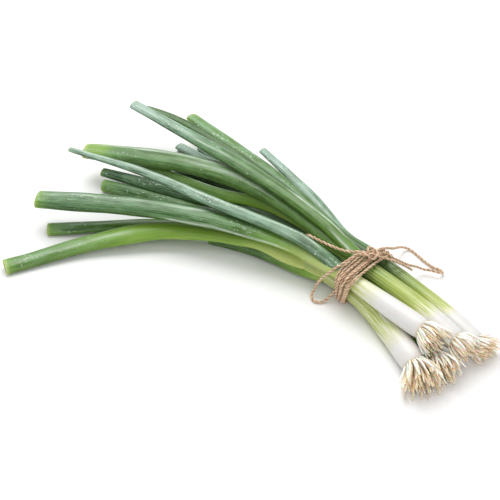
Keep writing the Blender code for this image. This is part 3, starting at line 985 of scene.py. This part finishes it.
def shank_line(onion):
    """From the closed neck to the root plate, with the radius going in at both ends."""
    line = shank_lines[onion]
    end_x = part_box(f"{onion}_shank")[1][0] / MM - TIE[0]
    heading = unit(line[-1, :3] - line[-4, :3])
    bulb = line[-1, 3]
    reach = (end_x - line[-1, 0]) / heading[0] - bulb * 0.25
    tail = [(*(line[-1, :3] + heading * reach * share), bulb * wide) for share, wide in BULB_END]
    line = evenly(np.vstack([line, tail]), SHANK_STEP)
    line[:, 3] *= read_off(NEAR_NECK if onion == "near" else NECKS, line[:, 0])
    ease(line[:, 3], SHANK_EASED)
    line[:, 2] = np.maximum(line[:, 2], line[:, 3])
    return line


# %% Grow the shanks
def close_end(piece, x, pull):
    """Closes the tube at x with a plate that is domed the way of `pull`."""
    only(piece)
    bpy.ops.object.mode_set(mode="EDIT")
    bpy.ops.mesh.select_all(action="DESELECT")
    bpy.ops.object.mode_set(mode="OBJECT")
    for vertex in piece.data.vertices:
        vertex.select = bool(abs(vertex.co.x - x) < 1e-6)
    bpy.ops.object.mode_set(mode="EDIT")
    bpy.ops.mesh.select_mode(type="VERT")
    for share, step in DOME:
        bpy.ops.mesh.extrude_region_move(TRANSFORM_OT_translate={"value": (pull * step * MM, 0, 0)})
        bpy.ops.transform.resize(value=(1, share, share))
    bpy.ops.mesh.merge(type="CENTER")
    finish_edit()


def make_shank(onion, number):
    line = shank_line(onion)
    x = distances(line)
    shank = loft(f"{onion}_shank_grown", np.column_stack([x, line[:, 3], line[:, 3]]), SHANK_SIDES)
    for end, pull in ((0.0, -1.0), (x[-1] * MM, 1.0)):
        close_end(shank, end, pull)
    places = store_straight(shank, 7 + number * 0.5)
    from_tie = np.interp(places[:, 0] / MM, x, line[:, 0])
    store(shank, "green", read_off(GREENS[onion], from_tie))
    store(shank, "plate", np.interp(places[:, 0] / MM, (x[-1] - 1.2, x[-1] + 0.4), (0, 1)))
    make_finer(shank)
    apply_all(shank)
    bend(shank, line)
    shank.data.shade_smooth()
    return stands_for(shank, "white_shank", f"{onion}_shank")


shanks = {onion: make_shank(onion, number) for number, onion in enumerate(ONIONS)}
print("shanks made:", len(shanks))

# %% [markdown]
# ## The roots
#
# Each root plate carries a brush of thick cream roots that were trimmed when the bunch was packed. One root
# is lofted, and its copies are bent to their own lines: out of the plate, flaring like a shaving brush, to
# a ragged cut. The outer ones are cream, and the inner ones, seen between them, are darkened to tan with
# painted shade.

# %% One root
ROOT_RINGS, ROOT_SIDES = 8, 6
ROOT_OUTLINE = ((0, 0.8), (0.2, 1.0), (0.55, 1.05), (0.85, 0.8), (1.0, 0.5))


def make_root():
    """A straight root, 1 m long and 1 m in radius, to be scaled to each place."""
    shares = np.linspace(0, 1, ROOT_RINGS)
    wide = read_off(ROOT_OUTLINE, shares)
    root = loft("root", np.column_stack([shares, wide, wide]) / MM, ROOT_SIDES)
    edit_all()
    bpy.ops.mesh.fill_holes(sides=0)
    finish_edit()
    return root


# %% The tufts' lines
ROOTS_IN_TUFT = {"near": 84, "top": 66, "middle": 60, "far": 64, "low": 76}
ROOT_RADIUS = 0.76
ROOT_FLARE = 1.4  # width of a tuft's cut end over the CAD tuft's
ROOT_REACH = {"near": 1.0, "top": 0.86, "middle": 0.92, "far": 0.74, "low": 1.0}  # length over the CAD tuft's
ON_PLATE = 0.93  # how far out on the plate the outermost roots grow
STRAIGHT_OUT, ALREADY_FLARED = 0.26, 0.42  # shares of a tuft's length and flare that set how a root curves
GOLDEN_TURN = math.radians(137.5)


def across_and_up(heading):
    """Two directions square to a heading, the second one pointing up."""
    side = unit(np.cross(heading, (0, 0, 1)))
    return side, np.cross(side, heading)


def tuft_lines(onion, dice):
    """The line, radius and distance from the middle of each root of a tuft."""
    line = shank_line(onion)
    plate, radius = line[-1, :3], line[-1, 3]
    heading = unit(line[-1, :3] - line[-5, :3])
    corners = corners_of(f"{onion}_roots").reshape(-1, 3)
    low, high = (np.array(corner) / MM - TIE for corner in cad_box)
    outward = unit(corners.mean(axis=0) - plate)
    reach = ((corners - plate) @ outward).max()
    ends = corners[(corners - plate) @ outward > reach - 3]
    spread = np.linalg.norm(ends - ends.mean(axis=0), axis=1).max() * ROOT_FLARE
    plate_side, plate_up = across_and_up(heading)
    side, up = across_and_up(outward)
    count = ROOTS_IN_TUFT[onion]
    for k in range(count):
        away = math.sqrt((k + 0.5) / count)
        turn = k * GOLDEN_TURN + dice.uniform(-0.2, 0.2)
        across, above = away * math.cos(turn), away * math.sin(turn)
        rim = plate_side * across + plate_up * above
        start = plate - heading * (0.4 + 1.1 * away**3) + rim * radius * ON_PLATE
        far = reach * ROOT_REACH[onion] * dice.uniform(0.74, 1.02) * (1 - 0.1 * away**2)
        loose = [dice.gauss(0, 0.12) for _ in range(2)]
        end = plate + outward * far + (side * (across + loose[0]) + up * (above + loose[1])) * spread
        middle = start + heading * reach * STRAIGHT_OUT + rim * spread * ALREADY_FLARED
        shares = np.linspace(0, 1, ROOT_RINGS)[:, None]
        root = (1 - shares) ** 2 * start + 2 * shares * (1 - shares) * middle + shares**2 * end
        wave = np.sin(shares * 5 + dice.uniform(0, 6)) * shares * dice.uniform(0, 0.6)
        root += wave * (side * dice.uniform(-1, 1) + up * dice.uniform(-1, 1))
        thick = ROOT_RADIUS * dice.uniform(0.7, 1.25)
        root[1:] = np.clip(root[1:], low + thick, high - thick)
        root[:, 2] = np.maximum(root[:, 2], thick * 1.1)
        yield root, thick, away


# %% Grow the roots
def make_roots(onion, number, root):
    dice = random.Random(60 + number)
    copies = []
    for line, thick, away in tuft_lines(onion, dice):
        copy = placed(f"{onion}_root", root.data.copy())
        copy.data.transform(Matrix.Diagonal((length_of(line) * MM, thick * MM, thick * MM, 1)))
        places = places_of(copy)
        store(copy, "share", places[:, 0] / places[:, 0].max())
        store(copy, "tint", np.full(len(places), dice.uniform(0, 1)))
        store(copy, "inner", np.full(len(places), 1 - away))
        bend(copy, line)
        copies.append(copy)
    piece = joined(copies, f"{onion}_roots_grown")
    piece.data.shade_smooth()
    print(f"{piece.name}: {len(copies)} roots, {len(piece.data.polygons)} faces")
    return stands_for(piece, "root_hair", f"{onion}_roots")


one_root = make_root()
roots = {onion: make_roots(onion, number, one_root) for number, onion in enumerate(ONIONS)}
bpy.data.objects.remove(one_root)

# %% [markdown]
# ## Leaf finish
#
# The leaf is deep green under a pale wax that rubs off in handling. Fine veins run its whole length. The
# wax breaks up in streaks and patches and frosts some tips. Wax, frost and dry specks show only where
# the leaf faces up, as painted light from above. Pale lines along some leaves are painted highlights,
# and leaves lying in shadow in the bunch are darkened with painted shade. Dry specks show nearly white.

# %% Leaf material
# The first green is painted shade, for leaves lying in shadow in the bunch.
SHADE_GREEN, DEEP_GREEN, LEAF_GREEN = (0.008, 0.030, 0.009), (0.022, 0.075, 0.012), (0.072, 0.165, 0.026)
LIME_GREEN, SHEATH_GREEN, WAX_GREEN = (0.170, 0.320, 0.022), (0.520, 0.580, 0.170), (0.225, 0.400, 0.260)
FROST_GREEN = (0.34, 0.46, 0.39)


def leaf_finish():
    leaf = Finish("leaf_waxy_green", 0.4, Specular_IOR_Level=0.42, Sheen_Weight=0.05, Sheen_Roughness=0.4)
    veins = leaf.noise(leaf.straight((14, 1350, 1350)), 1.0, 0.0)
    streaks = leaf.noise(leaf.straight((60, 620, 620)), 1.0, 4.0, 0.7)
    patches = leaf.noise(leaf.straight((75, 230, 230)), 1.0, 3.0, 0.6)
    lines = veins.between(0.40, 0.60)
    # Painted shade: leaves lying in shadow in the bunch are darkened, and their pale patches dimmed
    base = leaf.mixed(leaf.painted("dark"), DEEP_GREEN, SHADE_GREEN)
    paler = (patches.between(0.35, 0.65) * 0.6 + lines * 0.45 - 0.05).clamped()
    light = paler * (1 - leaf.painted("dark") * 0.5)
    base = leaf.mixed(light, base, LEAF_GREEN)
    yellow = leaf.painted("lime") + leaf.painted("tip") * 0.7
    uneven = (patches - 0.5) * 0.3 + (veins - 0.5) * 0.5
    base = leaf.mixed((yellow + uneven * yellow.between(0.0, 0.3)).clamped(), base, LIME_GREEN)
    base = leaf.mixed((yellow - 1 + uneven * 1.5 * yellow.between(0.8, 1.2)).clamped(), base, SHEATH_GREEN)
    # Painted light from above: how far the leaf faces up, which keeps wax, frost and specks to its top
    lit_from_above = leaf.painted("up").between(-0.3, 0.9)
    coat = streaks.between(0.3, 0.72) * 0.7 + patches.between(0.38, 0.68) * 0.5 + (lines - 0.5) * 0.4
    wax_and_top_light = (leaf.painted("bloom") * lit_from_above * coat).clamped()
    base = leaf.mixed(wax_and_top_light, base, WAX_GREEN)
    frost_and_top_light = (leaf.painted("bloom") - 0.6).clamped() * lit_from_above * (coat * 1.2 + 0.6)
    base = leaf.mixed(frost_and_top_light.clamped(), base, FROST_GREEN)
    # Painted highlights: pale glints and bright edges along the leaf
    ridge = (leaf.painted("ridge") * (0.45 + streaks.between(0.35, 0.65) * 0.7)).clamped()
    base = leaf.mixed(ridge * 0.85, base, (0.68, 0.78, 0.66))
    specks = leaf.noise(leaf.straight((480, 900, 900)), 1.0, 1.0).between(0.655, 0.70)
    gathered = leaf.noise(leaf.straight((38, 110, 110)), 1.0, 2.0).between(0.50, 0.58)
    marks = specks * gathered * lit_from_above * leaf.painted("bloom").between(0.1, 0.5)
    base = leaf.mixed(marks * 0.9, base, (0.72, 0.80, 0.72))
    leaf.feed("Base Color", base)
    leaf.feed("Roughness", 0.32 + wax_and_top_light * 0.25 + (streaks - 0.5) * 0.15)
    leaf.bump(veins + streaks * 0.5, 0.0002, 0.7)
    return leaf.material


# %% [markdown]
# ## Shank finish
#
# Along the sheath the colour runs from leaf green through lime to white, and it turns in fine parallel
# stripes, because the veins keep their green longer than the flesh between them.

# %% Shank material
def shank_finish():
    shank = Finish("shank_white_to_green", 0.33, Subsurface_Weight=0.1, Subsurface_Scale=0.002,
                   Specular_IOR_Level=0.4)
    stripes = shank.noise(shank.straight((2.5, 1000, 1000)), 1.0, 0.0)
    fine = shank.noise(shank.straight((9, 3200, 3200)), 1.0, 0.0)
    broad = shank.noise(shank.straight((14, 300, 300)), 1.0, 2.0)
    lines = stripes.between(0.44, 0.56)
    green = shank.painted("green")
    coloured = green.between(0.0, 0.25)
    ragged = (lines - 0.5) * 0.22 + (fine - 0.5) * 0.3 + (broad - 0.5) * 0.25
    place = (green + ragged * coloured).clamped()
    colour = shank.ramp(place, [(0.0, (0.73, 0.72, 0.70)), (0.14, (0.66, 0.68, 0.40)),
                                (0.30, (0.44, 0.51, 0.12)), (0.46, (0.29, 0.39, 0.045)),
                                (0.68, (0.15, 0.26, 0.035)), (0.86, (0.07, 0.16, 0.03)),
                                (1.0, (0.025, 0.075, 0.02))])
    threads = lines * fine.between(0.25, 0.5) * green.between(0.12, 0.35) * (1 - green.between(0.8, 1.0))
    colour = shank.mixed(threads * 0.7, colour, (0.52, 0.57, 0.24))
    blush = shank.noise(shank.straight((180, 180, 180)), 1.0, 3.0).between(0.5, 0.75) * (1 - coloured)
    colour = shank.mixed(blush * 0.3, colour, (0.70, 0.63, 0.55))
    specks = shank.noise(shank.straight((700, 1100, 1100)), 1.0, 1.0).between(0.73, 0.76) * (1 - coloured)
    colour = shank.mixed(specks * 0.6, colour, (0.45, 0.30, 0.18))
    colour = shank.mixed(shank.painted("plate") * 0.8, colour, (0.60, 0.40, 0.20))
    shank.feed("Base Color", colour)
    shank.feed("Roughness", 0.30 + (broad - 0.5) * 0.2)
    shank.bump(stripes + fine * 0.3, 0.00018, 0.6)
    return shank.material


# %% [markdown]
# ## Root and twine finishes
#
# Roots and jute are both dry fibre, but not alike. A root is cream and lets light into it, so it has some
# subsurface light, with tan where soil stains it and painted tan shade deep in the tuft. Jute lets none
# in. Its fibres make the streaks, and painted shade darkens it in the groove between the yarns.

# %% Root and twine materials
def root_finish():
    root = Finish("root_cream", 0.6, Subsurface_Weight=0.4, Subsurface_Scale=0.002)
    share = root.painted("share")
    # Painted shade: roots near the middle of the tuft, seen between the outer ones, are darkened to tan
    deep = root.painted("inner").between(0.12, 0.3)
    browned = root.painted("tint").between(0.5, 1.0) * 0.45
    near_plate = (1 - share.between(0.0, 0.2)) * 0.4
    tan_and_shade = (deep * 0.55 + browned + near_plate).clamped()
    colour = root.mixed(tan_and_shade, (0.97, 0.93, 0.86), (0.93, 0.71, 0.45))
    place = root.out("ShaderNodeTexCoord", output=3)
    stains = root.noise(place, 700.0, 2.0).between(0.55, 0.75)
    colour = root.mixed(stains * 0.2, colour, (0.70, 0.50, 0.28))
    root.feed("Base Color", colour)
    root.bump(root.noise(place, 2500.0, 2.0), 0.0001, 0.5)
    return root.material


def twine_finish():
    jute = Finish("jute_twine", 0.85, Sheen_Weight=0.2)
    fibres = jute.noise(jute.straight((170, 2600, 2600)), 1.0, 3.0, 0.6)
    patches = jute.noise(jute.straight((150, 300, 300)), 1.0, 2.0)
    tone = fibres * 0.65 + patches * 0.35
    colour = jute.ramp(tone, [(0.30, (0.38, 0.22, 0.12)), (0.43, (0.64, 0.42, 0.26)),
                              (0.55, (0.86, 0.62, 0.43)), (0.68, (0.97, 0.80, 0.62))])
    shade = jute.painted("groove").between(0.04, 0.38)
    colour = jute.mixed(shade * 0.7, colour, (0.200, 0.098, 0.042))
    jute.feed("Base Color", colour)
    jute.bump(fibres, 0.0003, 0.8)
    return jute.material


# %% [markdown]
# ## Dressing the pieces
#
# One finish covers the whole of a piece. Where an onion changes on its way, as a sheath does from white to
# green, the change is painted on its mesh, so that one finish serves all five and still no two look alike.

# %% Put the finishes on
def dress(piece, material):
    piece.data.materials.clear()
    piece.data.materials.append(material)


twines = [windings, knot, fuzz, *(run for run, _ in cords.values())]
for material, pieces in ((leaf_finish(), leaves.values()), (shank_finish(), shanks.values()),
                         (root_finish(), roots.values()), (twine_finish(), twines)):
    for piece in pieces:
        dress(piece, material)
    print(f"{material.name}: on {len(pieces)} pieces")

# %% [markdown]
# ## Floor and light
#
# A plain pale floor, and a large soft light from above and behind, as a window gives. A weaker one in front
# and the pale world fill the shadows.

# %% Stage
def make_floor():
    bpy.ops.object.select_all(action="DESELECT")
    bpy.ops.mesh.primitive_plane_add(size=8, location=(0, 0, 0))
    floor = bpy.context.view_layer.objects.active
    floor.name = "floor"
    paint = Finish("floor_pale", 0.9)
    paint.shader.inputs["Base Color"].default_value = (0.9, 0.9, 0.9, 1)
    paint.shader.inputs["Specular IOR Level"].default_value = 0.0
    dress(floor, paint.material)


def make_light(name, place, size, power):
    data = bpy.data.lights.new(name, "AREA")
    data.size = size
    data.energy = power
    light = placed(name, data)
    light.location = place
    light.rotation_euler = (-Vector(place)).to_track_quat("-Z", "Y").to_euler()


make_floor()
make_light("window", (-0.45, 0.35, 1.1), 1.0, 13)
make_light("fill", (0.9, -0.9, 1.2), 1.2, 3.5)
world = bpy.data.worlds.new("pale")
world.use_nodes = True
world.node_tree.nodes["Background"].inputs["Color"].default_value = (1, 1, 1, 1)
world.node_tree.nodes["Background"].inputs["Strength"].default_value = 0.66
bpy.context.scene.world = world
bpy.context.scene.view_settings.view_transform = "Standard"
bpy.data.objects.remove(outline)
